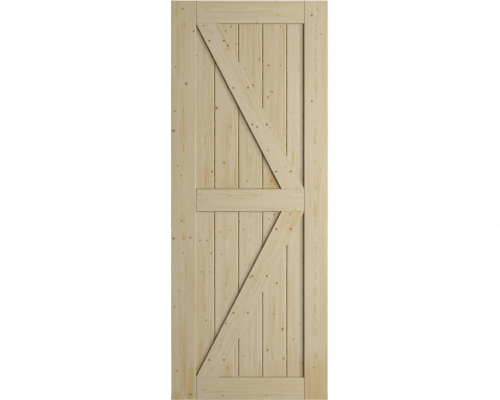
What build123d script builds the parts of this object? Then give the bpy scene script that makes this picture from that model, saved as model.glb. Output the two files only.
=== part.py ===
from build123d import *
import math
import os

# A barn door slab in bare softwood. Two stiles and three rails make a grooved frame. Upright
# tongue-and-groove boards fill its two openings, and a slanting brace lies across the boards of each
# opening, on both faces, so that either face shows a K.
# All sizes are in millimetres. The origin is the middle of the top edge, from which the door hangs.
# X runs along the door to the right, Y from the front face to the back face, and Z up.

# The whole slab
door_width = 838.0
door_height = 2134.0
door_thickness = 35.0

# The frame
left_stile_width = 132.5
right_stile_width = 127.5
top_rail_width = 122.5
middle_rail_width = 120.0
bottom_rail_width = 120.0
middle_rail_height = 1067.0  # from the door's bottom edge to the middle of the rail
outer_arris = 2.0            # chamfer along the door's outer edges
seam_arris = 2.0             # chamfer where a rail's shoulder meets a stile
shoulder_gap = 0.8           # between a rail's shoulder and the stile
opening_arris = 2.0          # chamfer round each opening, on both faces

# The groove in the frame's inner edges, and the fit of what stands in it
groove_depth = 12.0
groove_clearance = 0.2       # on each face of a board or tenon
groove_end_gap = 1.0         # room for the wood to swell, at the bottom of the groove

# The boards
board_thickness = 15.0
board_cover = 128.4          # from one joint to the next
board_shift = 2.2            # how far right of an opening's middle the boards are set out
board_gap = 2.2              # between two boards, in the bottom of their V-joint
tongue_thickness = 4.0
tongue_length = 7.0
tongue_clearance = 0.2       # on each face of a tongue
tongue_end_gap = 1.0         # room for the wood to swell, at the end of a tongue
vee_width = 3.0              # chamfer beside a joint, on both faces
vee_depth = 4.0
end_vee_width = 3.0          # chamfer across a board's ends, beside the rails, on both faces
end_vee_depth = 3.0

# The braces and the screws that hold them
brace_width = 107.0
brace_setback = 0.5          # how far a brace's face lies behind the frame's face
brace_clearance = 0.3        # between a brace and the frame round it
brace_arris = 0.6
screw_pair_spacing = 78.0
screw_pair_shift = 14.0      # how much nearer the opening's middle a pair is than the joint by it
screw_row_steepness = 1.01   # how much steeper the row of pairs is than the brace
screw_head_diameter = 9.0
screw_shank_diameter = 4.5
screw_head_depth = 0.6       # straight part of a countersink, above its 45 degree cone

# Levels and widths that follow from the sizes above. Every piece is made about the middle of the
# openings in X, and moved to its place at the end.
top_edge = 0.0
bottom_edge = top_edge - door_height
middle_rail_low = bottom_edge + middle_rail_height - middle_rail_width / 2
middle_rail_high = middle_rail_low + middle_rail_width
left_of_openings = -door_width / 2 + left_stile_width
right_of_openings = door_width / 2 - right_stile_width
opening_width = right_of_openings - left_of_openings
opening_middle = (left_of_openings + right_of_openings) / 2
upper_opening = (middle_rail_high, top_edge - top_rail_width)
lower_opening = (bottom_edge + bottom_rail_width, middle_rail_low)
face = door_thickness / 2
board_face = board_thickness / 2
groove_half = board_face + groove_clearance
rail_groove_half = groove_half - end_vee_depth
seat_depth = groove_depth - groove_end_gap


def upright(section_points, low, high):
    """A straight piece along Z with the given section in X and Y."""
    section = Plane.XY.offset(low) * Polygon(*section_points, align=None)
    return extrude(section, amount=high - low)


def bevelled_opening(opening):
    """The two shallow funnels that chamfer the frame round an opening, one on each face."""
    low, high = opening
    mouth = Plane(origin=(0, -face, (low + high) / 2), x_dir=(1, 0, 0), z_dir=(0, 1, 0))
    outline = Rectangle(opening_width + 2 * opening_arris, high - low + 2 * opening_arris)
    front = extrude(mouth * outline, amount=opening_arris, taper=45)
    return [front, mirror(front, about=Plane.XZ)]


def right_hand_stile(width):
    """An upright of the frame, grooved along its inner edge from end to end."""
    inner = opening_width / 2
    outer = inner + width
    groove_floor = inner + groove_depth
    section = [
        (inner + seam_arris, -face),
        (outer - outer_arris, -face),
        (outer, -face + outer_arris),
        (outer, face - outer_arris),
        (outer - outer_arris, face),
        (inner + seam_arris, face),
        (inner, face - seam_arris),
        (inner, groove_half),
        (groove_floor, groove_half),
        (groove_floor, -groove_half),
        (inner, -groove_half),
        (inner, -face + seam_arris),
    ]
    return upright(section, bottom_edge, top_edge) - bevelled


def edge_outline(level, inward, grooved):
    """One long edge of a rail's section in Y and Z, from the front face to the back face. An edge that
    meets boards is grooved, and one on the outside of the door has its arris. Inward is 1 or -1."""
    if grooved:
        floor = level + inward * groove_depth
        return [
            (-face, level),
            (-rail_groove_half, level),
            (-rail_groove_half, floor),
            (rail_groove_half, floor),
            (rail_groove_half, level),
            (face, level),
        ]
    return [
        (-face, level + inward * outer_arris),
        (-face + outer_arris, level),
        (face - outer_arris, level),
        (face, level + inward * outer_arris),
    ]


def rail(low, high, grooved_below, grooved_above):
    """A crosspiece of the frame. Its shoulders butt against the stiles, and a stub tenon at each end
    stands in the stile's groove."""
    half = opening_width / 2 - shoulder_gap
    tenon_end = opening_width / 2 + seat_depth
    below = edge_outline(low, 1, grooved_below)
    above = edge_outline(high, -1, grooved_above)
    section = Plane.YZ.offset(-half) * Polygon(*below, *reversed(above), align=None)
    plan = [
        (-half + seam_arris, -face),
        (half - seam_arris, -face),
        (half, -face + seam_arris),
        (half, face - seam_arris),
        (half - seam_arris, face),
        (-half + seam_arris, face),
        (-half, face - seam_arris),
        (-half, -face + seam_arris),
    ]
    body = extrude(section, amount=2 * half) & upright(plan, low, high)
    tenon_low = low + groove_depth if grooved_below else low
    tenon_high = high - groove_depth if grooved_above else high
    tenons = [
        (-tenon_end, -board_face),
        (tenon_end, -board_face),
        (tenon_end, board_face),
        (-tenon_end, board_face),
    ]
    return body + upright(tenons, tenon_low, tenon_high) - bevelled


def board_joints():
    """Where the joints between boards lie in X. The boards are set out from near the middle of the
    opening, and the outer two are ripped to what is left."""
    filled = opening_width + 2 * seat_depth
    count = math.ceil(filled / board_cover)
    return [board_shift + (i - count / 2) * board_cover for i in range(1, count)]


def end_bevels(opening):
    """What is planed off both faces of the boards at their ends: a chamfer down to the rail, and then
    level, so that a thinner end stands in the rail's groove."""
    low, high = opening
    reach = opening_width / 2 + groove_depth
    bevels = []
    for level, outward in ((low, -1), (high, 1)):
        beyond = level + outward * groove_depth
        section = [
            (-board_face - end_vee_depth, level - 2 * outward * end_vee_width),
            (-board_face + end_vee_depth, level),
            (-board_face + end_vee_depth, beyond),
            (-board_face - end_vee_depth, beyond),
        ]
        front = extrude(Plane.YZ * Polygon(*section, align=None), amount=reach, both=True)
        bevels += [front, mirror(front, about=Plane.XZ)]
    return bevels


def board(left, right, opening):
    """One board, with a groove along its left edge and a tongue along its right. An edge that stands
    in a stile's groove, given as None, is plain."""
    tongue_half = tongue_thickness / 2
    slot_half = tongue_half + tongue_clearance
    if right is None:
        plain = opening_width / 2 + seat_depth
        right_edge = [(plain, -board_face), (plain, board_face)]
    else:
        edge = right - board_gap / 2
        tongue_end = edge + tongue_length
        right_edge = [
            (edge - vee_width, -board_face),
            (edge, -board_face + vee_depth),
            (edge, -tongue_half),
            (tongue_end, -tongue_half),
            (tongue_end, tongue_half),
            (edge, tongue_half),
            (edge, board_face - vee_depth),
            (edge - vee_width, board_face),
        ]
    if left is None:
        plain = -opening_width / 2 - seat_depth
        left_edge = [(plain, board_face), (plain, -board_face)]
    else:
        edge = left + board_gap / 2
        slot_floor = edge - board_gap + tongue_length + tongue_end_gap
        left_edge = [
            (edge + vee_width, board_face),
            (edge, board_face - vee_depth),
            (edge, slot_half),
            (slot_floor, slot_half),
            (slot_floor, -slot_half),
            (edge, -slot_half),
            (edge, -board_face + vee_depth),
            (edge + vee_width, -board_face),
        ]
    low, high = opening
    return upright(right_edge + left_edge, low - seat_depth, high + seat_depth) - end_bevels(opening)


def brace_angle(width, height):
    """Degrees above the horizontal at which a brace runs from corner to corner, with one long edge in
    each corner."""
    diagonal = math.hypot(width, height)
    return math.degrees(math.atan2(height, width) + math.asin(brace_width / diagonal))


def front_brace(opening, falls):
    """A brace on the front face, trimmed level at the rails. One that falls goes down to the right."""
    low, high = opening
    length_up = high - low - 2 * brace_clearance
    angle = brace_angle(opening_width - 2 * brace_clearance, length_up)
    lean = angle - 90 if falls else 90 - angle
    half = brace_width / 2
    front = -face + brace_setback
    section = [
        (-half + brace_arris, front),
        (half - brace_arris, front),
        (half, front + brace_arris),
        (half, -board_face),
        (-half, -board_face),
        (-half, front + brace_arris),
    ]
    reach = length_up / math.sin(math.radians(angle)) + brace_width
    level = Pos(0, 0, (low + high) / 2)
    blank = Rot(0, lean, 0) * upright(section, -reach / 2, reach / 2)
    trim = Box(2 * opening_width, 2 * door_thickness, length_up)
    brace = level * (blank & trim)
    run = screw_row_steepness * math.tan(math.radians(angle)) * (-1 if falls else 1)
    return brace, [level * Pos(x, front, x * run) for x in screw_pair_middles()]


def screw_pair_middles():
    """Where the middle of each pair of screws lies in X: by a joint, a little nearer the middle, and
    the same distance from the opening's middle on both sides."""
    steps = [x - board_shift for x in board_joints()]
    return [x - math.copysign(screw_pair_shift, x) if x else x for x in steps]


def countersunk_hole():
    """What a screw takes out of a front brace, with its mouth at the origin and its axis along Y."""
    head = screw_head_diameter / 2
    shank = screw_shank_diameter / 2
    depth = face - brace_setback - board_face
    profile = Polygon(
        (0, 0),
        (head, 0),
        (head, screw_head_depth),
        (shank, screw_head_depth + head - shank),
        (shank, depth),
        (0, depth),
        align=None,
    )
    return Rot(-90, 0, 0) * revolve(Plane.XZ * profile, Axis.Z)


def drilled(brace, pairs):
    """A front brace with the holes for its screws."""
    hole = countersunk_hole()
    sides = [-screw_pair_spacing / 2, screw_pair_spacing / 2]
    return brace - [pair * Pos(side, 0, 0) * hole for pair in pairs for side in sides]


bevelled = bevelled_opening(upper_opening) + bevelled_opening(lower_opening)

# The frame
nodes = {
    "left_stile": mirror(right_hand_stile(left_stile_width), about=Plane.YZ),
    "right_stile": right_hand_stile(right_stile_width),
    "top_rail": rail(top_edge - top_rail_width, top_edge, True, False),
    "middle_rail": rail(middle_rail_low, middle_rail_high, True, True),
    "bottom_rail": rail(bottom_edge, bottom_edge + bottom_rail_width, False, True),
}

# The boards, numbered from the left
edges = [None, *board_joints(), None]
for place, opening in (("upper", upper_opening), ("lower", lower_opening)):
    for number, (left, right) in enumerate(zip(edges, edges[1:]), start=1):
        nodes[f"{place}_board_{number}"] = board(left, right, opening)

# The braces: the upper ones fall to the right and the lower ones rise to the right
for place, opening, falls in (("upper", upper_opening, True), ("lower", lower_opening, False)):
    brace, pairs = front_brace(opening, falls)
    nodes[f"front_{place}_brace"] = drilled(brace, pairs)
    nodes[f"back_{place}_brace"] = mirror(brace, about=Plane.XZ)

os.makedirs("parts", exist_ok=True)
for name, shape in nodes.items():
    export_step(Pos(opening_middle, 0, 0) * shape, f"parts/{name}.step")
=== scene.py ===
import math
import random

import bmesh
import bpy
from mathutils import Matrix, Vector


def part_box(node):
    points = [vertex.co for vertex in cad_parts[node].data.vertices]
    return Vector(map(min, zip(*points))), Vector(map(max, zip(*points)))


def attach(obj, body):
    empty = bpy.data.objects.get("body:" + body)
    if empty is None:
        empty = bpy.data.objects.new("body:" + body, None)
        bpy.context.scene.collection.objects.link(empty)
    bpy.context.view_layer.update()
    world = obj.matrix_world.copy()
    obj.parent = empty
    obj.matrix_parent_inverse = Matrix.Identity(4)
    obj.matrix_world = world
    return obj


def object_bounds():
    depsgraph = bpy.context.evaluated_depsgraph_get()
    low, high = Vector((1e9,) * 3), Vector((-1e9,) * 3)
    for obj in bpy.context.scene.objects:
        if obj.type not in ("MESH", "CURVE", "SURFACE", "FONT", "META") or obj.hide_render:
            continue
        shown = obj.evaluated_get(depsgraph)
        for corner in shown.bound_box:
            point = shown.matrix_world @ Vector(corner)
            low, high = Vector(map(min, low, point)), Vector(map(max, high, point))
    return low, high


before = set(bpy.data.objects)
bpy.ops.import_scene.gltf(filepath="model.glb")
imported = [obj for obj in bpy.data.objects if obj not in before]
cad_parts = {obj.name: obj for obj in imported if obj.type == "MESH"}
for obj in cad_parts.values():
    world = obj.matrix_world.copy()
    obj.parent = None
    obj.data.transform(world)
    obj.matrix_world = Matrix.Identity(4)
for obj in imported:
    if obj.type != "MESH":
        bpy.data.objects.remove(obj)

cad_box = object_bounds()

# The stiles are the two long uprights of the frame, each one flat-sawn pine board, planed and left bare.
# The rings of the tree run the whole height, so they show as long arches on the faces, as straight lines on
# the edges and as arcs on the sawn ends. Places on the door are in mm from its left edge and from its top.
MM = 0.001
DOOR_CORNER = Vector((cad_box[0].x, cad_box[0].y, cad_box[1].z))
UPRIGHT = 0.0


def add_node(tree, kind, inputs=None, **settings):
    """Puts a node in a tree. Each input is a plain value, or the output that feeds it."""
    node = tree.nodes.new(kind)
    for name, value in settings.items():
        setattr(node, name, value)
    for key, value in (inputs or {}).items():
        if isinstance(value, bpy.types.NodeSocket):
            tree.links.new(value, node.inputs[key])
        else:
            node.inputs[key].default_value = value
    return node


def calc(tree, operation, *values, clamp=False):
    """The result of a Math node."""
    inputs = dict(enumerate(values))
    return add_node(tree, "ShaderNodeMath", inputs, operation=operation, use_clamp=clamp).outputs[0]


def split(tree, vector):
    """The three values of a vector."""
    return add_node(tree, "ShaderNodeSeparateXYZ", {"Vector": vector}).outputs


def joined(tree, x, y, z):
    """A vector made of three values."""
    return add_node(tree, "ShaderNodeCombineXYZ", {"X": x, "Y": y, "Z": z}).outputs[0]


def fade(tree, value, low, high):
    """Rises smoothly from 0, where the value is low, to 1, where it is high."""
    inputs = {"Value": value, "From Min": low, "From Max": high}
    return add_node(tree, "ShaderNodeMapRange", inputs, interpolation_type="SMOOTHSTEP").outputs[0]


def between(tree, share, none, full):
    """A value that goes from none, where the share is 0, to full, where it is 1."""
    return calc(tree, "MULTIPLY_ADD", share, full - none, none)


def blend(tree, share, first, second):
    """The first colour where the share is 0, and the second where it is 1."""
    inputs = {0: share, 6: first, 7: second}
    return add_node(tree, "ShaderNodeMix", inputs, data_type="RGBA").outputs[2]


def grain_noise(tree, place, log, across, along, detail=2.0, roughness=0.5):
    """Soft noise about 0.5, drawn out along the grain, and different for each log that boards are sawn from.
    Across and along say how many spots there are to a mm."""
    spots = {0: place, 1: (across, across, along)}
    stretched = add_node(tree, "ShaderNodeVectorMath", spots, operation="MULTIPLY").outputs[0]
    inputs = {"Vector": stretched, "W": log, "Scale": 1.0, "Detail": detail, "Roughness": roughness}
    return add_node(tree, "ShaderNodeTexNoise", inputs, noise_dimensions="4D").outputs[0]


def colour(red, green, blue):
    """A colour given as it looks on screen, from 0 to 255, as the shader takes it."""
    return (*(((shade / 255 + 0.055) / 1.055) ** 2.4 for shade in (red, green, blue)), 1.0)


def new_group(name, inputs, outputs):
    """A node group with named sockets. Returns it with what it is given and what it puts out."""
    tree = bpy.data.node_groups.new(name, "ShaderNodeTree")
    for socket, kind in inputs.items():
        tree.interface.new_socket(socket, in_out="INPUT", socket_type=f"NodeSocket{kind}")
    for socket, kind in outputs.items():
        tree.interface.new_socket(socket, in_out="OUTPUT", socket_type=f"NodeSocket{kind}")
    given = tree.nodes.new("NodeGroupInput").outputs
    return tree, given, tree.nodes.new("NodeGroupOutput").inputs


def use_group(tree, group, inputs):
    """Puts a node group in a tree and returns its outputs."""
    return add_node(tree, "ShaderNodeGroup", inputs, node_tree=group).outputs


# The bend of the grain round a knot: how much longer than wide it is, and how gently it starts
BEND_LENGTH = 2.5
BEND_SOFTNESS = 0.35
# The spots to a mm of a knot's ragged outline, and how much shallower the knot gets for each radius outwards
RAGGED_SPOTS = 0.16
KNOT_FADE = 0.6


def make_knot():
    """A branch that runs through the board from face to face. Figure holds how far the grain is pushed
    aside, how deep in a knot a point is, and how amber the wood is."""
    inputs = {
        "Place": "Vector",
        "Figure": "Vector",
        "Centre": "Vector",
        "Radius": "Float",
        "Strength": "Float",
    }
    tree, given, result = new_group("knot", inputs, {"Figure": "Vector"})
    from_centre = {0: given["Place"], 1: given["Centre"]}
    away = add_node(tree, "ShaderNodeVectorMath", from_centre, operation="SUBTRACT").outputs[0]
    across, _, along = split(tree, away)
    push, knot, amber = split(tree, given["Figure"])
    across_squared = calc(tree, "MULTIPLY", across, across)
    radius_squared = calc(tree, "MULTIPLY", given["Radius"], given["Radius"])
    drawn_out = calc(tree, "MULTIPLY", along, 1.0 / BEND_LENGTH)
    flow = calc(tree, "MULTIPLY_ADD", drawn_out, drawn_out, across_squared)
    flow = calc(tree, "MULTIPLY_ADD", radius_squared, BEND_SOFTNESS, flow)
    aside = calc(tree, "DIVIDE", calc(tree, "MULTIPLY", across, radius_squared), flow)
    pushed = calc(tree, "SUBTRACT", push, aside)
    distance = calc(tree, "SQRT", calc(tree, "MULTIPLY_ADD", along, along, across_squared))
    ragged = {"Vector": given["Place"], "Scale": RAGGED_SPOTS, "Detail": 1.5}
    ragged = add_node(tree, "ShaderNodeTexNoise", ragged).outputs[0]
    distance = calc(tree, "MULTIPLY", distance, between(tree, ragged, 0.5, 1.5))
    reach = calc(tree, "DIVIDE", distance, given["Radius"])
    inside = calc(tree, "MULTIPLY_ADD", reach, -KNOT_FADE, 1.0, clamp=True)
    inside = calc(tree, "MULTIPLY", inside, given["Strength"])
    tree.links.new(joined(tree, pushed, calc(tree, "MAXIMUM", knot, inside), amber), result["Figure"])
    return tree


# Where a streak has faded out, in half lengths from its middle
STREAK_END = 1.2
# The least width of a lozenge, as a share of its full width, and half the width in mm of the line round it
LOZENGE_TIP = 0.1
LINE_HALF_WIDTH = 2.0
# The layers of noise that make streaks waver and leave gaps in the lines
WAVER_LAYER, GAP_LAYER = 3.0, 5.0


def make_streak():
    """Amber heartwood or resin that shows as a streak along the grain and bends round the knots. Where it is
    ringed, it is only a lozenge drawn by the late wood of one ring."""
    inputs = {
        "Place": "Vector",
        "Figure": "Vector",
        "Across": "Float",
        "Drift": "Float",
        "Along": "Float",
        "Half Length": "Float",
        "Half Width": "Float",
        "Strength": "Float",
        "Ringed": "Float",
    }
    tree, given, result = new_group("amber streak", inputs, {"Figure": "Vector"})
    across, _, along = split(tree, given["Place"])
    push, knot, amber = split(tree, given["Figure"])
    middle = calc(tree, "MULTIPLY_ADD", along, given["Drift"], given["Across"])
    aside = calc(tree, "SUBTRACT", calc(tree, "ADD", across, push), middle)
    reach = calc(tree, "DIVIDE", calc(tree, "SUBTRACT", along, given["Along"]), given["Half Length"])
    reach = calc(tree, "ABSOLUTE", reach)
    blunt = between(tree, given["Ringed"], 0.6, 1.0)
    ended = fade(tree, reach, STREAK_END, blunt)
    lens = between(tree, ended, 0.25, 1.0)
    lozenge = calc(tree, "MAXIMUM", calc(tree, "SUBTRACT", 1.0, reach), LOZENGE_TIP)
    taper = calc(tree, "MULTIPLY_ADD", given["Ringed"], calc(tree, "SUBTRACT", lozenge, lens), lens)
    width = calc(tree, "MULTIPLY", given["Half Width"], taper)
    aside = calc(tree, "DIVIDE", aside, width)
    waver = grain_noise(tree, given["Place"], WAVER_LAYER, across=0.04, along=0.011)
    sway = between(tree, given["Ringed"], 1.6, 0.6)
    aside = calc(tree, "MULTIPLY_ADD", calc(tree, "SUBTRACT", waver, 0.5), sway, aside)
    core = calc(tree, "EXPONENT", calc(tree, "MULTIPLY", calc(tree, "MULTIPLY", aside, aside), -1.0))
    core = calc(tree, "MULTIPLY", core, calc(tree, "SUBTRACT", 1.0, given["Ringed"]))
    from_outline = calc(tree, "SUBTRACT", calc(tree, "ABSOLUTE", aside), 1.0)
    from_outline = calc(tree, "MULTIPLY", from_outline, width)
    outline = calc(tree, "MULTIPLY", from_outline, from_outline)
    outline = calc(tree, "MULTIPLY", outline, -1.0 / LINE_HALF_WIDTH**2)
    gaps = grain_noise(tree, given["Place"], GAP_LAYER, across=0.07, along=0.035, detail=1.0)
    outline = calc(tree, "MULTIPLY", calc(tree, "EXPONENT", outline), fade(tree, gaps, 0.36, 0.56))
    outline = calc(tree, "MULTIPLY", outline, given["Ringed"])
    beside = calc(tree, "MAXIMUM", core, outline)
    here = calc(tree, "MULTIPLY", calc(tree, "MULTIPLY", beside, ended), given["Strength"])
    tree.links.new(joined(tree, push, knot, calc(tree, "MAXIMUM", amber, here)), result["Figure"])
    return tree


# How far in mm the pith sways and the rings wander, and by how many rings the width of a year's growth varies
PITH_SWAY = 14.0
RING_WANDER = 16.0
UNEVEN_YEARS = 1.8
UNEVEN_SPOTS = 0.45


def make_rings():
    """Yearly rings about the pith, the middle of the tree, which runs along the board behind its face.
    Late is the dark wood that ends each ring."""
    inputs = {
        "Place": "Vector",
        "Figure": "Vector",
        "Pith": "Vector",
        "Ring Width": "Float",
        "Taper": "Float",
        "Ripple": "Float",
        "Log": "Float",
    }
    tree, given, result = new_group("growth rings", inputs, {"Late": "Float"})
    across, depth, along = split(tree, given["Place"])
    pith_across, pith_depth, pith_drift = split(tree, given["Pith"])
    across = calc(tree, "ADD", across, split(tree, given["Figure"])[0])
    pith_here = calc(tree, "MULTIPLY_ADD", along, pith_drift, pith_across)
    sway = grain_noise(tree, given["Place"], given["Log"], across=0.0, along=0.006)
    pith_here = calc(tree, "MULTIPLY_ADD", calc(tree, "SUBTRACT", sway, 0.5), PITH_SWAY, pith_here)
    beside = calc(tree, "SUBTRACT", across, pith_here)
    behind = calc(tree, "SUBTRACT", depth, pith_depth)
    radius = calc(tree, "MULTIPLY_ADD", behind, behind, calc(tree, "MULTIPLY", beside, beside))
    radius = calc(tree, "SQRT", radius)
    wander = grain_noise(tree, given["Place"], given["Log"], across=0.012, along=0.0035)
    radius = calc(tree, "MULTIPLY_ADD", wander, RING_WANDER, radius)
    ripple = grain_noise(tree, given["Place"], given["Log"], across=0.01, along=0.016, roughness=0.6)
    radius = calc(tree, "MULTIPLY_ADD", ripple, given["Ripple"], radius)
    radius = calc(tree, "MULTIPLY_ADD", along, given["Taper"], radius)
    ring = calc(tree, "DIVIDE", radius, given["Ring Width"])
    year = joined(tree, calc(tree, "MULTIPLY", ring, UNEVEN_SPOTS), given["Log"], 0.0)
    uneven = add_node(tree, "ShaderNodeTexNoise", {"Vector": year, "Scale": 1.0}).outputs[0]
    ring = calc(tree, "FRACT", calc(tree, "MULTIPLY_ADD", uneven, UNEVEN_YEARS, ring))
    late = calc(tree, "MULTIPLY", fade(tree, ring, 0.30, 0.86), fade(tree, ring, 1.0, 0.9))
    tree.links.new(late, result["Late"])
    return tree


# Each kind of fibre takes its noise from a layer of its own. Flecks count for this much beside the fine fibre
BOLD_LAYER, WARM_LAYER, FLECK_LAYER = 50.0, 80.0, 20.0
FLECK_SHARE = 1.2


def make_fibre():
    """Streaks of paler and darker fibre along the grain. Broad ones are a thumb wide and fine ones a hair.
    Bold is where the rings stand out, and Warm where the wood is faintly amber."""
    inputs = {"Place": "Vector", "Figure": "Vector", "Log": "Float"}
    outputs = {"Broad": "Float", "Fine": "Float", "Bold": "Float", "Warm": "Float"}
    tree, given, result = new_group("fibre", inputs, outputs)
    push = joined(tree, split(tree, given["Figure"])[0], 0.0, 0.0)
    place = add_node(tree, "ShaderNodeVectorMath", {0: given["Place"], 1: push}, operation="ADD").outputs[0]
    broad = grain_noise(tree, place, given["Log"], across=0.07, along=0.0016, detail=3.0, roughness=0.55)
    fine = grain_noise(tree, place, given["Log"], across=0.5, along=0.03, roughness=0.6)
    bold_log = calc(tree, "ADD", given["Log"], BOLD_LAYER)
    bold = grain_noise(tree, place, bold_log, across=0.018, along=0.0022)
    warm_log = calc(tree, "ADD", given["Log"], WARM_LAYER)
    warm = grain_noise(tree, place, warm_log, across=0.05, along=0.0025, detail=3.0)
    fleck_log = calc(tree, "ADD", given["Log"], FLECK_LAYER)
    fleck = grain_noise(tree, place, fleck_log, across=0.2, along=0.07, detail=1.0)
    fine = calc(tree, "MULTIPLY_ADD", calc(tree, "SUBTRACT", fleck, 0.5), FLECK_SHARE, fine)
    tree.links.new(broad, result["Broad"])
    tree.links.new(fine, result["Fine"])
    tree.links.new(fade(tree, bold, 0.42, 0.7), result["Bold"])
    tree.links.new(fade(tree, warm, 0.46, 0.72), result["Warm"])
    return tree


EARLY_WOOD, LATE_WOOD = colour(205, 192, 161), colour(172, 149, 98)
AMBER_WOOD = colour(190, 160, 85)
KNOT_RIM, KNOT_WOOD, KNOT_HEART = colour(184, 158, 104), colour(142, 108, 60), colour(114, 74, 40)
# How strongly the rings show on sawn ends, and how amber the warm fibre is
END_RINGS = 0.6
FAINT_AMBER = 0.3


def make_pine_finish():
    """The colour, gloss and relief of planed pine, from its figure."""
    inputs = {
        "Figure": "Vector",
        "Late": "Float",
        "Broad": "Float",
        "Fine": "Float",
        "Bold": "Float",
        "Warm": "Float",
        "End Grain": "Float",
        "Tone": "Float",
        "Warmth": "Float",
    }
    outputs = {"Colour": "Color", "Roughness": "Float", "Height": "Float"}
    tree, given, result = new_group("pine finish", inputs, outputs)
    _, knot, amber = split(tree, given["Figure"])
    contrast = between(tree, given["Bold"], 0.1, 0.36)
    contrast = calc(tree, "MAXIMUM", contrast, calc(tree, "MULTIPLY", given["End Grain"], END_RINGS))
    wood = blend(tree, calc(tree, "MULTIPLY", given["Late"], contrast), EARLY_WOOD, LATE_WOOD)
    late_line = calc(tree, "POWER", given["Late"], 3.0)
    amber = calc(tree, "MAXIMUM", amber, calc(tree, "MULTIPLY", given["Warm"], FAINT_AMBER))
    resin = calc(tree, "MULTIPLY", amber, between(tree, late_line, 0.75, 1.05), clamp=True)
    wood = blend(tree, resin, wood, AMBER_WOOD)
    wood = blend(tree, fade(tree, knot, 0.05, 0.5), wood, KNOT_RIM)
    wood = blend(tree, fade(tree, knot, 0.36, 0.56), wood, KNOT_WOOD)
    wood = blend(tree, fade(tree, knot, 0.6, 0.9), wood, KNOT_HEART)
    value = between(tree, given["Broad"], 0.91, 1.09)
    value = calc(tree, "ADD", value, between(tree, given["Fine"], -0.07, 0.07))
    value = calc(tree, "MULTIPLY", value, given["Tone"])
    value = calc(tree, "MULTIPLY", value, between(tree, given["End Grain"], 1.0, 0.78))
    warmth = calc(tree, "MULTIPLY", between(tree, given["Broad"], 1.35, 0.65), given["Warmth"])
    warmth = calc(tree, "MULTIPLY_ADD", given["End Grain"], 0.2, warmth)
    shaded = add_node(tree, "ShaderNodeHueSaturation", {"Saturation": warmth, "Value": value, "Color": wood})
    tree.links.new(shaded.outputs[0], result["Colour"])
    roughness = between(tree, given["Fine"], 0.56, 0.72)
    roughness = calc(tree, "MULTIPLY_ADD", fade(tree, knot, 0.4, 0.6), -0.14, roughness)
    tree.links.new(roughness, result["Roughness"])
    height = calc(tree, "MULTIPLY_ADD", given["Late"], 0.5, given["Fine"])
    height = calc(tree, "MULTIPLY_ADD", fade(tree, knot, 0.35, 0.55), -0.8, height)
    tree.links.new(height, result["Height"])
    return tree


knot_figure = make_knot()
streak_figure = make_streak()
ring_figure = make_rings()
fibre_figure = make_fibre()
pine_finish = make_pine_finish()


def in_grain(place, lean):
    """How far a place on the door lies across and along the grain of a piece that leans by an angle."""
    left, down = place
    across = left * math.cos(lean) + down * math.sin(lean)
    return across, down * math.cos(lean) - left * math.sin(lean)


def line_in_grain(start, end, lean):
    """Where a line on the door starts across the grain, and how far it drifts for each mm along it."""
    across, along = in_grain(start, lean)
    far_across, far_along = in_grain(end, lean)
    drift = (far_across - across) / (far_along - along)
    return across - drift * along, drift


# A year's growth and the relief of the grain are in mm, and dry planed wood has hardly any sheen
RING_WIDTH = 2.4
DRY_SHEEN = 0.06
RELIEF_DEPTH, RELIEF_STRENGTH = 0.3, 0.3


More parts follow.
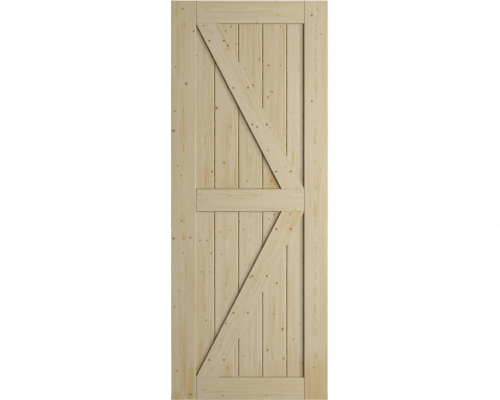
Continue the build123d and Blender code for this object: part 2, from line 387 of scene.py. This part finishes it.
def pine(
    name, log, pith, knots, streaks=(), links=(), lean=UPRIGHT, taper=0.012, ripple=2.2,
    tone=1.0, warmth=1.0, bounce=0.1, painted_joint_shade=0.0,
):
    """Gives a CAD piece its wood. The pith is a line behind the front face: its two ends on the door and
    its depth. A knot is its place, radius and strength, and a streak is its ends, half width and strength.
    A link is a streak of which only the outline shows. Bounce is the share of its light that the wood passes
    on to other pieces. Its edges, bevels and V-joints are made warmer than its faces by painted warm shade,
    as much as the last argument says."""
    material = bpy.data.materials.new(f"pine_{name}")
    material.use_nodes = True
    tree = material.node_tree
    spot = add_node(tree, "ShaderNodeTexCoord")
    mapping = {
        "Vector": spot.outputs["Object"],
        "Location": DOOR_CORNER,
        "Rotation": (0.0, lean, 0.0),
        "Scale": (MM, MM, -MM),
    }
    place = add_node(tree, "ShaderNodeMapping", mapping, vector_type="TEXTURE").outputs[0]
    figure = joined(tree, 0.0, 0.0, 0.0)
    for left, down, radius, strength in knots:
        across, along = in_grain((left, down), lean)
        inputs = {"Place": place, "Figure": figure, "Centre": (across, 0.0, along), "Radius": radius}
        figure = use_group(tree, knot_figure, {**inputs, "Strength": strength})["Figure"]
    amber = [(*streak, 0.0) for streak in streaks] + [(*link, 1.0) for link in links]
    for start, end, half_width, strength, ringed in amber:
        across, drift = line_in_grain(start, end, lean)
        first, last = in_grain(start, lean)[1], in_grain(end, lean)[1]
        inputs = {"Place": place, "Figure": figure, "Across": across, "Drift": drift}
        inputs |= {"Along": (first + last) / 2, "Half Length": abs(last - first) / 2}
        inputs |= {"Half Width": half_width, "Strength": strength, "Ringed": ringed}
        figure = use_group(tree, streak_figure, inputs)["Figure"]
    start, end, depth = pith
    across, drift = line_in_grain(start, end, lean)
    inputs = {"Place": place, "Figure": figure, "Pith": (across, depth, drift), "Ring Width": RING_WIDTH}
    rings = use_group(tree, ring_figure, {**inputs, "Taper": taper, "Ripple": ripple, "Log": log})
    fibre = use_group(tree, fibre_figure, {"Place": place, "Figure": figure, "Log": log})
    grain = (math.sin(lean), 0.0, math.cos(lean))
    facing = {0: spot.outputs["Normal"], 1: grain}
    facing = add_node(tree, "ShaderNodeVectorMath", facing, operation="DOT_PRODUCT").outputs["Value"]
    end_grain = fade(tree, calc(tree, "ABSOLUTE", facing), 0.6, 0.9)
    # Only a share of the wood's light goes on to other pieces, and that share is more amber, which warms the
    # shade in the joints
    bounced = add_node(tree, "ShaderNodeLightPath").outputs["Is Diffuse Ray"]
    shade = between(tree, bounced, tone, bounce * tone)
    # Painted warm shade: the edges, bevels and V-joints, which face away from the front, are made warmer than
    # the faces
    face_on = calc(tree, "ABSOLUTE", split(tree, spot.outputs["Normal"])[1])
    tint = between(tree, fade(tree, face_on, 0.9, 0.65), warmth, warmth * (1.0 + painted_joint_shade))
    tint = calc(tree, "MULTIPLY_ADD", bounced, warmth, tint)
    inputs = {"Figure": figure, "Late": rings["Late"], "End Grain": end_grain, "Tone": shade, "Warmth": tint}
    inputs |= {kind: fibre[kind] for kind in ("Broad", "Fine", "Bold", "Warm")}
    finish = use_group(tree, pine_finish, inputs)
    shader = tree.nodes["Principled BSDF"]
    shader.inputs["Specular IOR Level"].default_value = DRY_SHEEN
    tree.links.new(finish["Colour"], shader.inputs["Base Color"])
    tree.links.new(finish["Roughness"], shader.inputs["Roughness"])
    relief = {"Strength": RELIEF_STRENGTH, "Distance": RELIEF_DEPTH * MM, "Height": finish["Height"]}
    tree.links.new(add_node(tree, "ShaderNodeBump", relief).outputs[0], shader.inputs["Normal"])
    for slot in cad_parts[name].material_slots:
        slot.material = material


DOOR_HEIGHT = round((cad_box[1].z - cad_box[0].z) / MM)

pine(
    "left_stile", log=1.0, pith=((60, 0), (69, DOOR_HEIGHT), 60), taper=-0.02, tone=0.98,
    knots=[
        (62, 44, 5, 0.8), (120, 165, 5, 0.86), (23, 355, 4.5, 0.75), (81, 445, 6, 0.85),
        (21, 592, 4.5, 0.8), (10, 695, 6.5, 0.85), (17, 697, 5, 0.75), (35, 883, 4.5, 0.75),
        (54, 936, 4.5, 0.75), (56, 1178, 5, 0.82), (13, 1272, 6, 0.9), (102, 1267, 5.5, 0.8),
        (64, 1349, 5, 0.6), (39, 1553, 4, 0.62), (19, 1636, 4.5, 0.7), (33, 1978, 5, 0.82),
        (102, 2105, 6.5, 0.7), (108, 2104, 5.5, 0.64),
    ],
    streaks=[
        ((34, -40), (32, 110), 7, 0.5), ((66, 116), (68, 148), 8, 0.7), ((37, 110), (37, 440), 6, 0.7),
        ((60, 470), (60, 570), 9, 0.45), ((64, 585), (64, 700), 6, 0.6), ((66, 1248), (66, 1284), 9, 0.8),
        ((77, 1350), (77, 1530), 5, 0.4), ((68, 1690), (70, 2110), 11, 0.6),
        ((114, 1930), (104, 2210), 17, 0.6), ((30, 2080), (30, 2200), 26, 0.55),
    ],
    links=[((64, 570), (66, 800), 17, 0.95), ((66, 690), (72, 938), 15, 0.2)],
)
# The saw has just met the rings along the right stile, where they show as a chain of small amber lenses. Each
# is its middle from the top, half its length and half its width.
CHAIN_LEFT = 772
CHAIN_LINKS = (
    (182, 24, 9), (276, 16, 5), (312, 24, 9), (360, 18, 6), (450, 48, 9), (452, 24, 4), (655, 26, 7),
    (690, 16, 4), (738, 46, 10), (740, 22, 4), (855, 20, 6), (975, 34, 9), (1090, 26, 7), (1130, 40, 10),
    (1190, 18, 5), (1322, 30, 8), (1324, 14, 4), (1390, 34, 9), (1470, 18, 5), (1548, 30, 9),
    (1550, 14, 4), (1650, 26, 6), (1680, 34, 10), (1907, 36, 9), (1910, 18, 4), (2105, 34, 9),
)
pine(
    "right_stile", log=2.0, pith=((CHAIN_LEFT, 0), (CHAIN_LEFT, DOOR_HEIGHT), 32), taper=0.004, ripple=9.0,
    tone=0.97, warmth=0.93,
    knots=[
        (751, 80, 5.5, 0.9), (801, 179, 4.5, 0.68), (781, 50, 4, 0.62), (751, 538, 5.5, 0.88),
        (798, 905, 4, 0.46), (728, 1258, 4, 0.46), (764, 1961, 5.5, 0.62),
    ],
    streaks=[
        ((757, 45), (770, 118), 3, 0.5), ((789, 45), (776, 118), 3, 0.5),
        ((775, 1890), (775, 2450), 130, 0.6), ((828, 1850), (828, 2280), 12, 0.6),
        ((773, 120), (773, 142), 5, 0.7), ((773, 1752), (773, 1800), 5, 0.8),
        ((775, 2028), (775, 2052), 5, 0.8),
    ],
    links=[
        ((CHAIN_LEFT, middle - half), (CHAIN_LEFT, middle + half), width, 1.0)
        for middle, half, width in CHAIN_LINKS
    ],
)

# The rails are the three crosspieces of the frame, of the same pine with the grain lying across the door.
# Their shoulders butt against the stiles, and their tenons are hidden in the stiles' grooves.
LYING = math.radians(-90)
RAIL_LEFT, RAIL_RIGHT = 130, 708

pine(
    "top_rail", log=3.0, pith=((RAIL_LEFT, 40), (RAIL_RIGHT, 50), 70), lean=LYING, tone=0.99, warmth=0.96,
    knots=[(560, 5, 4.5, 0.65), (459, 118, 4.5, 0.72), (570, 76, 4.5, 0.55)],
    streaks=[((180, 14), (700, 16), 7, 0.45), ((150, 62), (560, 64), 5, 0.3)],
)
pine(
    "middle_rail", log=24.0, pith=((RAIL_LEFT, 1040), (RAIL_RIGHT, 1050), 85), lean=LYING, warmth=0.92,
    knots=[
        (419, 1019, 3.5, 0.57), (482, 1034, 4, 0.57), (377, 1059, 3.5, 0.46), (695, 1021, 3.5, 0.57),
        (664, 1117, 3.5, 0.57),
    ],
    streaks=[
        ((200, 1038), (480, 1042), 6, 0.45), ((130, 1070), (190, 1072), 6, 0.4),
        # The thin streak just under the top edge is partly amber wood and partly painted warm shade, beside
        # the shade above the rail
        ((180, 1016), (620, 1016), 4, 0.4),
    ],
)
pine(
    "bottom_rail", log=5.0, pith=((RAIL_LEFT, 2090), (RAIL_RIGHT, 2080), 70), lean=LYING,
    knots=[(175, 2081, 5, 0.55), (275, 2110, 5, 0.7), (509, 2110, 4.5, 0.55), (584, 2049, 4.5, 0.48)],
    streaks=[((200, 2088), (420, 2090), 7, 0.4)],
)

# The boards stand side by side in the frame's grooves, five above the middle rail and five below it, with
# tongues, grooves and V-joints between them. Each is sawn from a log of its own.
UPPER_TOP, UPPER_FOOT = 109, 1018
LOWER_TOP, LOWER_FOOT = 1116, 2025
BOARD_BOUNCE = 0.4
# Painted warm shade in the boards' edges, bevels and V-joints
PAINTED_JOINT_SHADE = 0.35


def pine_board(name, log, pith_left, drift, depth, knots, streaks=(), tone=1.0, warmth=1.0):
    """Gives an upright board its wood. The pith is at pith_left at its top, and drifts on the way down."""
    top, foot = (UPPER_TOP, UPPER_FOOT) if name.startswith("upper") else (LOWER_TOP, LOWER_FOOT)
    pith = ((pith_left, top), (pith_left + drift, foot), depth)
    pine(
        name, log, pith, knots, streaks, tone=tone, warmth=warmth,
        bounce=BOARD_BOUNCE, painted_joint_shade=PAINTED_JOINT_SHADE,
    )


pine_board(
    "upper_board_1", log=40.0, pith_left=175, drift=12, depth=80, tone=0.97,
    knots=[(137, 294, 4.5, 0.57), (148, 672, 4.5, 0.42), (220, 915, 5.5, 0.92)],
    streaks=[((171, 160), (171, 700), 6, 0.3), ((190, 880), (190, 1070), 36, 0.3)],
)
pine_board(
    "upper_board_2", log=7.0, pith_left=300, drift=8, depth=70, tone=0.965,
    knots=[
        (319, 140, 4.5, 0.8), (292, 163, 5, 0.68), (348, 233, 4.5, 0.62), (243, 573, 6.5, 0.9),
        (318, 674, 4, 0.8), (283, 866, 6, 0.78),
    ],
    streaks=[
        ((303, 580), (305, 800), 5, 0.4), ((318, 600), (318, 720), 3, 0.5),
        ((341, 890), (341, 1000), 5, 0.45), ((290, 940), (290, 1060), 36, 0.4),
    ],
)
pine_board(
    "upper_board_3", log=8.0, pith_left=430, drift=-10, depth=85, tone=0.95,
    knots=[(471, 314, 5, 0.75), (394, 363, 4.5, 0.62), (437, 453, 5, 0.85), (406, 966, 4.5, 0.72)],
    streaks=[
        ((382, 50), (384, 290), 5, 0.65), ((437, 110), (440, 440), 5, 0.65),
        ((376, 565), (376, 670), 5, 0.35),
    ],
)
pine_board(
    "upper_board_4", log=9.0, pith_left=560, drift=6, depth=90, tone=0.94,
    knots=[
        (584, 139, 4.5, 0.7), (520, 347, 4.5, 0.92), (585, 349, 4.5, 0.68), (534, 487, 3.5, 0.85),
        (541, 487, 4, 0.85), (517, 517, 5.5, 0.78), (535, 963, 5, 0.75), (488, 920, 5, 0.85),
    ],
    streaks=[
        ((601, 110), (601, 440), 5, 0.5), ((603, 500), (606, 740), 5, 0.4),
        ((542, 890), (542, 1080), 36, 0.7), ((502, 800), (502, 900), 7, 0.5),
    ],
)
pine_board(
    "upper_board_5", log=10.0, pith_left=680, drift=0, depth=110, warmth=0.87,
    knots=[(642, 599, 4.5, 0.52)],
    streaks=[((650, 795), (651, 895), 6, 0.75), ((694, 880), (694, 1060), 13, 0.65)],
)
pine_board(
    "lower_board_1", log=11.0, pith_left=170, drift=15, depth=75,
    knots=[
        (153, 1282, 4, 0.86), (191, 1282, 5, 0.72), (214, 1352, 5, 0.75), (161, 1450, 5, 0.65),
        (206, 1450, 5, 0.6), (185, 1709, 4.5, 0.75), (161, 1693, 5, 0.6),
    ],
    streaks=[((165, 1800), (146, 2030), 22, 0.6)],
)
pine_board(
    "lower_board_2", log=12.0, pith_left=300, drift=-12, depth=80, tone=1.02, warmth=0.9,
    knots=[
        (261, 1237, 5.5, 0.72), (316, 1228, 5, 0.56), (270, 1356, 5, 0.66), (275, 1541, 4.5, 0.46),
        (302, 1964, 5, 0.68),
    ],
    streaks=[
        ((290, 1090), (290, 1290), 15, 0.4), ((297, 1350), (296, 1500), 5, 0.45),
        ((288, 1490), (288, 1610), 10, 0.45), ((342, 1820), (342, 1995), 5, 0.65),
        ((302, 1930), (290, 2090), 34, 0.65),
    ],
)
pine_board(
    "lower_board_3", log=13.0, pith_left=420, drift=10, depth=85, warmth=0.92,
    knots=[
        (387, 1224, 4.5, 0.68), (364, 1183, 4, 0.86), (404, 1275, 3, 0.5), (398, 1330, 3, 0.55),
        (387, 1899, 4.5, 0.6), (391, 1977, 4.5, 0.46),
    ],
    streaks=[
        ((470, 1560), (470, 1670), 5, 0.55), ((443, 1840), (443, 1995), 7, 0.4),
        ((474, 1920), (474, 2080), 12, 0.5), ((420, 1960), (420, 2110), 50, 0.3),
    ],
)
pine_board(
    "lower_board_4", log=14.0, pith_left=545, drift=0, depth=70, warmth=0.93,
    knots=[
        (550, 1143, 5, 0.86), (524, 1168, 4.5, 0.75), (564, 1510, 5, 0.88), (549, 1676, 5, 0.68),
        (595, 1756, 7, 0.8), (515, 1868, 6, 0.8), (601, 1913, 6, 0.75),
    ],
    streaks=[
        ((549, 1570), (549, 1775), 5, 0.6), ((557, 1070), (557, 1190), 20, 0.5),
        ((560, 1920), (560, 2110), 50, 0.4),
    ],
)
pine_board(
    "lower_board_5", log=15.0, pith_left=670, drift=-15, depth=80, warmth=0.93,
    knots=[(655, 1811, 6.5, 0.58), (694, 1731, 4.5, 0.57), (694, 1938, 4.5, 0.57)],
    streaks=[
        ((629, 1460), (629, 1680), 5, 0.35), ((624, 1250), (624, 1420), 6, 0.4),
        # The streak along the right edge at the foot is painted warm shade, where the right stile's shadow
        # falls
        ((640, 1810), (640, 2100), 18, 0.5), ((692, 1890), (692, 2080), 20, 0.5),
    ],
)

# The braces are thinner boards laid over the upright ones from corner to corner, on both faces, and sawn
# level where they meet the rails. Their grain runs with their slope.
BRACE_WIDTH = 107.0
HALF_PITH = 100.0


def brace_slope(name):
    """The angle at which a brace rises, with a long edge in each of the corners that it runs between."""
    low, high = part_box(name)
    width, height = (high.x - low.x) / MM, (high.z - low.z) / MM
    return math.atan2(height, width) + math.asin(BRACE_WIDTH / math.hypot(width, height))


def pine_brace(name, log, side, depth, knots, streaks=(), warmth=1.0):
    """Gives a brace its wood, with the pith behind the middle of its face. Side is -1 if it falls to the
    right and 1 if it rises to the right."""
    lean = side * (math.pi / 2 - brace_slope(name))
    low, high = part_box(name)
    middle = Vector(((low.x + high.x) / 2 - DOOR_CORNER.x, DOOR_CORNER.z - (low.z + high.z) / 2)) / MM
    along = Vector((-math.sin(lean), math.cos(lean))) * HALF_PITH
    pith = (middle - along, middle + along, depth)
    pine(name, log, pith, knots, streaks, lean=lean, warmth=warmth)


pine_brace(
    "front_upper_brace", log=41.0, side=-1, depth=70, warmth=0.93,
    knots=[
        (174, 136, 6, 0.66), (223, 176, 5.5, 0.42), (302, 241, 6, 0.95), (459, 676, 6, 0.8),
        (527, 682, 4.5, 0.57), (516, 801, 6.5, 0.56), (613, 889, 4.5, 0.5),
    ],
    streaks=[
        ((232, 110), (300, 240), 7, 0.75), ((298, 252), (306, 270), 11, 0.9),
        ((177, 140), (194, 205), 5, 0.4), ((300, 240), (704, 1012), 4, 0.4),
    ],
)
pine_brace(
    "front_lower_brace", log=17.0, side=1, depth=75, warmth=0.97,
    knots=[
        (636, 1138, 6.5, 0.62), (422, 1479, 4.5, 0.8), (453, 1497, 4.5, 0.52), (293, 1725, 5.5, 0.75),
        (264, 1843, 5, 0.6), (218, 1970, 5.5, 0.5),
    ],
    streaks=[((692, 1080), (616, 1252), 27, 0.5), ((616, 1140), (580, 1225), 6, 0.55)],
)
pine_brace(
    "back_upper_brace", log=18.0, side=-1, depth=-40,
    knots=[(260, 240, 5, 0.92), (420, 500, 5, 0.69), (470, 690, 4.5, 0.57), (560, 840, 5.5, 0.8)],
    streaks=[((300, 300), (410, 510), 8, 0.4)],
)
pine_brace(
    "back_lower_brace", log=19.0, side=1, depth=-40,
    knots=[(600, 1260, 5, 0.8), (450, 1500, 4.5, 0.92), (350, 1640, 4.5, 0.57), (250, 1900, 5.5, 0.69)],
    streaks=[((540, 1340), (440, 1530), 8, 0.4)],
)

# Two steel screws with dark bronze heads go through each front brace beside every board joint, with their
# countersunk heads just below the face. Each is driven home at a turn of its own.
SCREW_PAIRS_FROM_MIDDLE = (-178.6, -50.2, 50.2, 178.6)
SCREW_SPACING = 78.0
SCREW_ROW_STEEPNESS = 1.01
HEAD_SUNK = 0.25
SCREW_CORNERS = 48
HEAD_RADIUS = 4.3
RECESS_ARM, RECESS_WAIST = 2.2, 0.8
ARM_HALF_ANGLE = math.radians(14)
# Each ring of a screw: its place behind the top of the head, its radius, and whether it follows the cross. If
# it does, its radius is a share of the cross's.
SCREW_RINGS = (
    (9.0, 1.2, False),
    (8.6, 1.9, False),
    (2.3, 1.95, False),
    (0.35, HEAD_RADIUS, False),
    (0.12, HEAD_RADIUS, False),
    (0.0, 4.1, False),
    (-0.06, 2.6, False),
    (-0.06, 1.0, True),
    (0.9, 0.82, True),
    (1.3, 0.3, True),
)
DARK_BRONZE, WORN_BRONZE = colour(70, 44, 2), colour(98, 66, 8)
MOTTLES_PER_METRE = 900.0


def cross_radius(angle):
    """How far the cross recess reaches at an angle about the screw."""
    quarter = math.pi / 2
    from_arm = abs((angle + quarter / 2) % quarter - quarter / 2)
    return RECESS_ARM if from_arm < ARM_HALF_ANGLE else RECESS_WAIST


def add_screw(mesh, place, turn):
    """Puts one screw in a mesh. The place is the middle of its head, and it points away from the viewer."""
    rings = []
    for behind, radius, follows_cross in SCREW_RINGS:
        ring = []
        for corner in range(SCREW_CORNERS):
            angle = 2 * math.pi * (corner + 0.5) / SCREW_CORNERS
            reach = radius * (cross_radius(angle) if follows_cross else 1.0)
            x, z = reach * math.cos(angle + turn), reach * math.sin(angle + turn)
            ring.append(mesh.verts.new(place + Vector((x, behind, z)) * MM))
        rings.append(ring)
    for ring, following in zip(rings, rings[1:]):
        for corner in range(SCREW_CORNERS):
            after = (corner + 1) % SCREW_CORNERS
            mesh.faces.new((ring[corner], ring[after], following[after], following[corner]))
    mesh.faces.new(rings[0][::-1])
    mesh.faces.new(rings[-1])


screw_steel = bpy.data.materials.new("screw_steel")
screw_steel.use_nodes = True
tree = screw_steel.node_tree
spot = add_node(tree, "ShaderNodeTexCoord")
mottle = {"Vector": spot.outputs["Object"], "Scale": MOTTLES_PER_METRE, "Detail": 3.0}
mottled = add_node(tree, "ShaderNodeTexNoise", mottle).outputs[0]
shader = tree.nodes["Principled BSDF"]
shader.inputs["Metallic"].default_value = 1.0
bronze = blend(tree, fade(tree, mottled, 0.35, 0.7), DARK_BRONZE, WORN_BRONZE)
tree.links.new(bronze, shader.inputs["Base Color"])
tree.links.new(between(tree, mottled, 0.5, 0.8), shader.inputs["Roughness"])

turns = random.Random(7)
for place, side in (("upper", -1), ("lower", 1)):
    brace = f"front_{place}_brace"
    low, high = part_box(brace)
    rise = side * SCREW_ROW_STEEPNESS * math.tan(brace_slope(brace))
    heads = bmesh.new()
    for from_middle in SCREW_PAIRS_FROM_MIDDLE:
        for half_spacing in (-SCREW_SPACING / 2, SCREW_SPACING / 2):
            x = (low.x + high.x) / 2 + (from_middle + half_spacing) * MM
            z = (low.z + high.z) / 2 + from_middle * rise * MM
            add_screw(heads, Vector((x, low.y + HEAD_SUNK * MM, z)), turns.uniform(0, math.pi / 2))
    bmesh.ops.recalc_face_normals(heads, faces=heads.faces)
    screw_mesh = bpy.data.meshes.new(f"{place}_brace_screws")
    heads.to_mesh(screw_mesh)
    heads.free()
    screw_mesh.materials.append(screw_steel)
    screws = bpy.data.objects.new(f"{place}_brace_screws", screw_mesh)
    bpy.context.scene.collection.objects.link(screws)
    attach(screws, "root")

# The door stands on a white floor, lit by two soft lamps at the right of its front, with one more behind it
# and one over it for its other sides. The camera is square to the front, with the door as tall as the frame.
PHOTO_WIDTH, PHOTO_HEIGHT = 500, 400
DOOR_TOP_PX, DOOR_FOOT_PX = 0.4, 399.95
DOOR_LEFT_PX, DOOR_RIGHT_PX = 171.0, 328.15
CAMERA_DISTANCE = 10.0
SENSOR_WIDTH = 36.0
LAMP_LEVEL = -0.84
LAMP_SPREAD = math.radians(110)
LAMP_COLOUR = (0.92, 0.935, 1.0)
AMBIENT = 0.18
AMBIENT_COLOUR = (1.0, 0.68, 0.1, 1.0)
WHITE = (1.0, 1.0, 1.0, 1.0)
FLOOR_RADIUS = 60.0
FLOOR_SEEN, FLOOR_FOR_LIGHT = (0.8, 0.8, 0.8, 1.0), (0.15, 0.15, 0.15, 1.0)
SHADOW_REACH, SHADOW_NARROWING = 0.7, 5.0

scene = bpy.context.scene
scene.view_settings.view_transform = "Standard"
door_low, door_high = cad_box
door_middle = (door_low + door_high) / 2
metres_per_pixel = (door_high.z - door_low.z) / (DOOR_FOOT_PX - DOOR_TOP_PX)

camera_data = bpy.data.cameras.new("camera")
camera_data.sensor_width = SENSOR_WIDTH
camera_data.lens = SENSOR_WIDTH * CAMERA_DISTANCE / (PHOTO_WIDTH * metres_per_pixel)
camera = bpy.data.objects.new("camera", camera_data)
scene.collection.objects.link(camera)
right_of_door = (PHOTO_WIDTH / 2 - (DOOR_LEFT_PX + DOOR_RIGHT_PX) / 2) * metres_per_pixel
over_door = ((DOOR_TOP_PX + DOOR_FOOT_PX) / 2 - PHOTO_HEIGHT / 2) * metres_per_pixel
camera.location = (door_middle.x + right_of_door, door_low.y - CAMERA_DISTANCE, door_middle.z + over_door)
camera.rotation_euler = (math.pi / 2, 0.0, 0.0)
scene.camera = camera


def soft_lamp(name, place, target, width, height, power):
    """A broad lamp that faces a target."""
    data = bpy.data.lights.new(name, "AREA")
    data.shape = "RECTANGLE"
    data.size = width
    data.size_y = height
    data.energy = power
    data.color = LAMP_COLOUR
    data.spread = LAMP_SPREAD
    lamp = bpy.data.objects.new(name, data)
    lamp.location = place
    lamp.rotation_euler = (target - Vector(place)).to_track_quat("-Z", "Y").to_euler()
    scene.collection.objects.link(lamp)


face = Vector((door_middle.x, door_middle.y, LAMP_LEVEL))
top_edge = Vector((door_middle.x, door_middle.y, door_high.z))
soft_lamp("front_lamp", (3.29, -3.22, LAMP_LEVEL), face, width=2.2, height=2.4, power=72.0)
soft_lamp("side_lamp", (4.28, -1.68, LAMP_LEVEL), face, width=0.9, height=2.4, power=60.0)
soft_lamp("back_lamp", (-2.9, 3.1, LAMP_LEVEL), face, width=2.0, height=2.0, power=86.0)
soft_lamp("top_lamp", (0.0, 0.9, 1.8), top_edge, width=1.5, height=1.5, power=16.0)

# The world is white where it is seen, and lights the door with a weak warm fill
world = bpy.data.worlds.new("studio")
scene.world = world
world.use_nodes = True
tree = world.node_tree
path = add_node(tree, "ShaderNodeLightPath")
seen = calc(tree, "MAXIMUM", path.outputs["Is Camera Ray"], path.outputs["Is Glossy Ray"])
seen = calc(tree, "MAXIMUM", seen, path.outputs["Is Transmission Ray"])
backdrop = add_node(tree, "ShaderNodeBackground", {"Color": WHITE, "Strength": 1.0})
ambient = tree.nodes["Background"]
ambient.inputs["Color"].default_value = AMBIENT_COLOUR
ambient.inputs["Strength"].default_value = AMBIENT
shown = add_node(tree, "ShaderNodeMixShader", {0: seen, 1: ambient.outputs[0], 2: backdrop.outputs[0]})
tree.links.new(shown.outputs[0], tree.nodes["World Output"].inputs["Surface"])

# The floor glows white where it is seen, and less so near the door, so that the door's shadow shows on it. It
# passes little light on to the door.
floor_mesh = bpy.data.meshes.new("floor")
sheet = bmesh.new()
under_door = Matrix.Translation((0.0, 0.0, door_low.z))
bmesh.ops.create_circle(sheet, cap_ends=True, segments=64, radius=FLOOR_RADIUS, matrix=under_door)
sheet.to_mesh(floor_mesh)
sheet.free()
floor = bpy.data.objects.new("floor", floor_mesh)
scene.collection.objects.link(floor)
floor_paint = bpy.data.materials.new("floor")
floor_paint.use_nodes = True
tree = floor_paint.node_tree
paint = tree.nodes["Principled BSDF"]
paint.inputs["Roughness"].default_value = 0.9
path = add_node(tree, "ShaderNodeLightPath")
pale = blend(tree, path.outputs["Is Camera Ray"], FLOOR_FOR_LIGHT, FLOOR_SEEN)
tree.links.new(pale, paint.inputs["Base Color"])
spot = add_node(tree, "ShaderNodeTexCoord").outputs["Object"]
beside, behind, _ = split(tree, spot)
beside = calc(tree, "SUBTRACT", calc(tree, "ABSOLUTE", beside), door_high.x)
beside = calc(tree, "MULTIPLY", calc(tree, "MAXIMUM", beside, 0.0), SHADOW_NARROWING)
away = calc(tree, "MULTIPLY_ADD", beside, beside, calc(tree, "MULTIPLY", behind, behind))
away = calc(tree, "SQRT", away)
glow = between(tree, fade(tree, away, 0.0, SHADOW_REACH), 0.5, 1.0)
glow = calc(tree, "MULTIPLY", glow, path.outputs["Is Camera Ray"])
lift = add_node(tree, "ShaderNodeEmission", {"Strength": glow})
bright = add_node(tree, "ShaderNodeAddShader", {0: paint.outputs[0], 1: lift.outputs[0]})
tree.links.new(bright.outputs[0], tree.nodes["Material Output"].inputs["Surface"])
floor_mesh.materials.append(floor_paint)
